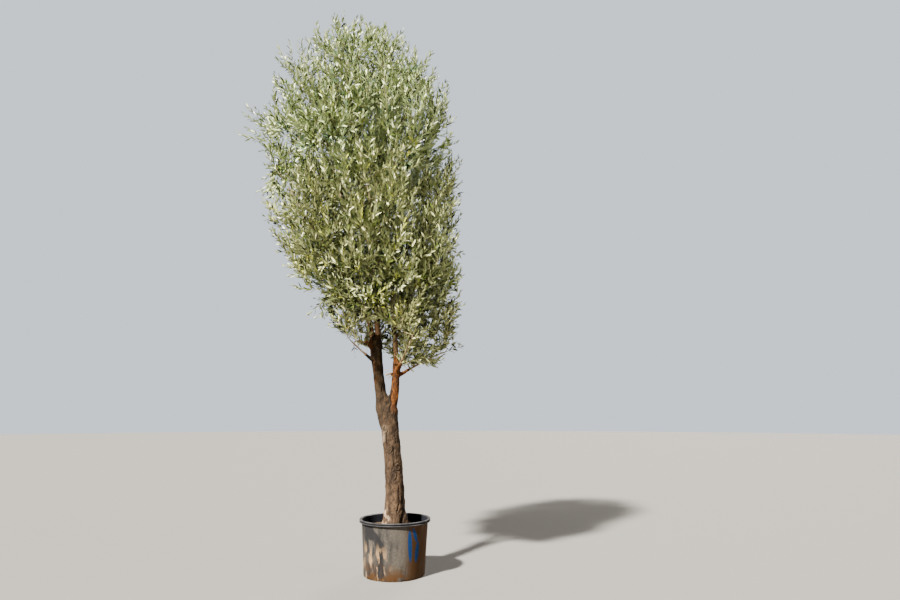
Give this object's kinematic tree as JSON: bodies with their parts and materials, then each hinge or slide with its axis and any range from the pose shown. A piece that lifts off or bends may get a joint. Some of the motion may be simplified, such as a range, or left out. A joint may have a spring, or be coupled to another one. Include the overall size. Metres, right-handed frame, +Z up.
{
  "type": "potted olive tree",
  "caption": "Olive tree in a round nursery container: leaning trunk forked into pruned stems, upright boughs and an open, upright crown of leafy masses.",
  "frame": {"origin": "centre of the container's flat underside, at ground level", "axes": "+Z up; seen from -Y in the picture; the trunk leans and the crown reaches towards -X"},
  "size_m": [2.531, 2.2796, 5.6985],
  "materials": {
    "plastic": "dusty black moulded plastic",
    "soil": "dry brown potting soil",
    "bark": "grey-brown fissured bark",
    "young_bark": "khaki young bark",
    "foliage": "grey-green leaves"
  },
  "bodies": {
    "root": {"pot": "plastic", "soil": "soil", "trunk": "bark", "stem_left": "bark", "stem_right": "bark", "bough_upper_1": "young_bark", "bough_upper_2": "young_bark", "bough_upper_3": "young_bark", "bough_upper_4": "young_bark", "bough_upper_5": "young_bark", "bough_upper_6": "young_bark", "bough_middle_1": "young_bark", "bough_middle_2": "young_bark", "bough_middle_3": "young_bark", "bough_middle_4": "young_bark", "bough_middle_5": "young_bark", "bough_middle_6": "young_bark", "bough_skirt_1": "young_bark", "bough_skirt_2": "young_bark", "bough_skirt_3": "young_bark", "bough_skirt_4": "young_bark", "bough_skirt_5": "young_bark", "foliage_upper_1": "foliage", "foliage_upper_2": "foliage", "foliage_upper_3": "foliage", "foliage_upper_4": "foliage", "foliage_upper_5": "foliage", "foliage_upper_6": "foliage", "foliage_middle_1": "foliage", "foliage_middle_2": "foliage", "foliage_middle_3": "foliage", "foliage_middle_4": "foliage", "foliage_middle_5": "foliage", "foliage_middle_6": "foliage", "foliage_skirt_1": "foliage", "foliage_skirt_2": "foliage", "foliage_skirt_3": "foliage", "foliage_skirt_4": "foliage", "foliage_skirt_5": "foliage"}
  },
  "joints": []
}
